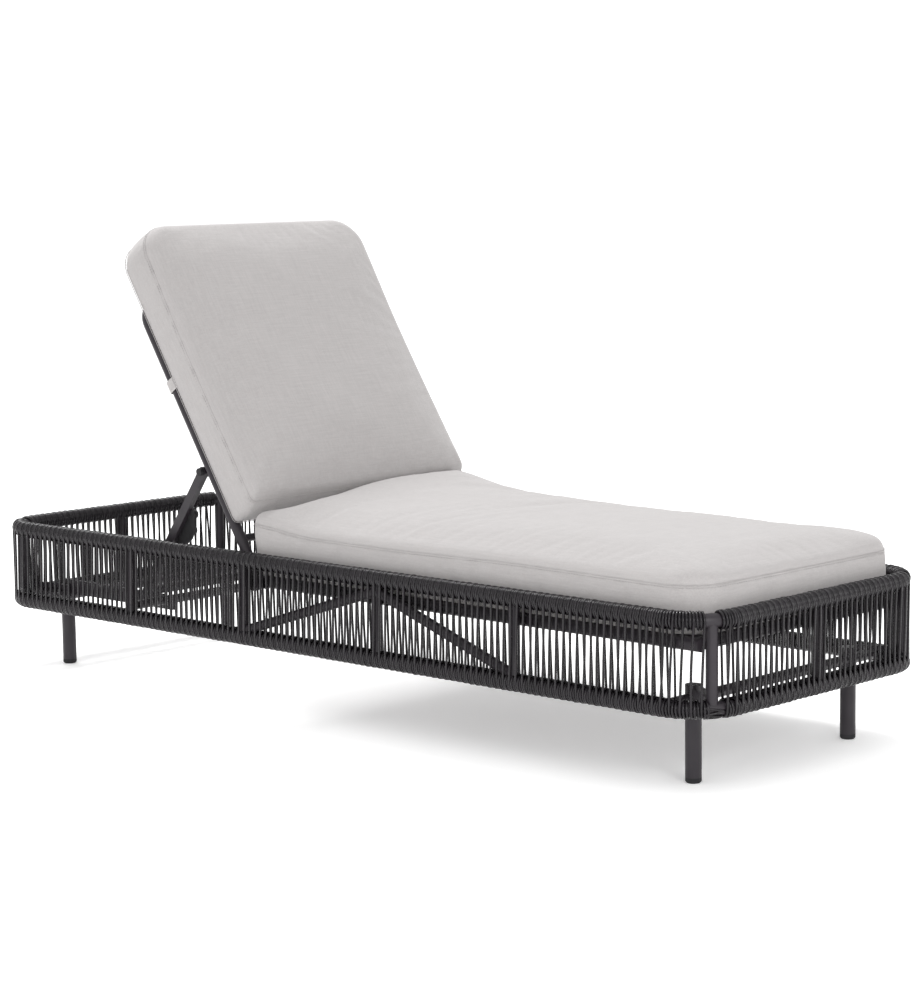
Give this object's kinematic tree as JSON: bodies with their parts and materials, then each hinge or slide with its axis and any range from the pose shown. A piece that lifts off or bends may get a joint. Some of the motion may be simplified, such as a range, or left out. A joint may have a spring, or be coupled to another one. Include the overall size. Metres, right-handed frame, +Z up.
{
  "type": "sun lounger",
  "caption": "Reclining sun lounger: cord-wrapped steel ring on four legs, seat deck, backrest that folds flat on a coupled strut, two-part cushion.",
  "frame": {"origin": "on the floor, under the middle of the wrapped ring", "axes": "+Z up, +Y towards the head end, X across the width"},
  "size_m": [0.7, 2, 0.9731],
  "materials": {
    "frame": "satin",
    "cord": "satin",
    "cushion": "matte",
    "cap": "matte"
  },
  "bodies": {
    "root": {"top_rail_near": "frame", "top_rail_far": "frame", "top_rail_head": "frame", "top_rail_foot": "frame", "top_rail_bends": "frame", "bottom_rail_near": "frame", "bottom_rail_far": "frame", "bottom_rail_head": "frame", "bottom_rail_foot": "frame", "bottom_rail_bends": "frame", "side_posts_near": "frame", "side_posts_far": "frame", "end_posts": "frame", "corner_posts": "frame", "braces_near": "frame", "braces_far": "frame", "leg_near_head": "frame", "leg_far_head": "frame", "leg_near_foot": "frame", "leg_far_foot": "frame", "foot_caps": "cap", "leg_tie_head": "frame", "leg_tie_foot": "frame", "corner_brackets": "frame", "deck_rail_near": "frame", "deck_rail_far": "frame", "deck_rear_tube": "frame", "deck_foot_tube": "frame", "deck_end_beam": "frame", "deck_slat_tubes": "frame", "deck_stubs": "frame", "hinge_brackets": "frame", "hinge_pins": "frame", "rack_near": "frame", "rack_far": "frame", "rack_tube": "frame", "weave_near": "cord", "weave_far": "cord", "weave_head": "cord", "weave_foot": "cord", "weave_near_head": "cord", "weave_far_head": "cord", "weave_near_foot": "cord", "weave_far_foot": "cord", "seat_cushion": "cushion"},
    "backrest": {"backrest_rail_near": "frame", "backrest_rail_far": "frame", "backrest_top_tube": "frame", "backrest_slats": "frame", "strut_hangers": "frame", "strut_pivot_rod": "frame", "strut_pivot_caps": "cap"},
    "strut": {"strut_arm_near": "frame", "strut_arm_far": "frame", "strut_foot_tube": "frame", "strut_catches": "frame"},
    "back_pad": {"back_cushion": "cushion", "back_strap": "cushion"}
  },
  "joints": [
    {"name": "backrest_hinge", "type": "hinge", "parent": "root", "child": "backrest", "pos_m": [0, 0.195, 0.258], "axis": [1, 0, 0], "range_deg": [-57.45, 0]},
    {"name": "strut_pivot", "type": "hinge", "parent": "backrest", "child": "strut", "pos_m": [0, 0.35912, 0.47237], "axis": [1, 0, 0], "range_deg": [0, 108.7]},
    {"name": "back_cushion_slide", "type": "slide", "parent": "backrest", "child": "back_pad", "axis": [0, 0.538, 0.8429], "range_m": [-0.1135, 0]}
  ],
  "couplings": [
    {"joint": "strut_pivot", "follows": "backrest_hinge", "ratio": -1.89},
    {"joint": "back_cushion_slide", "follows": "backrest_hinge", "m_per_rad": 0.1128}
  ]
}
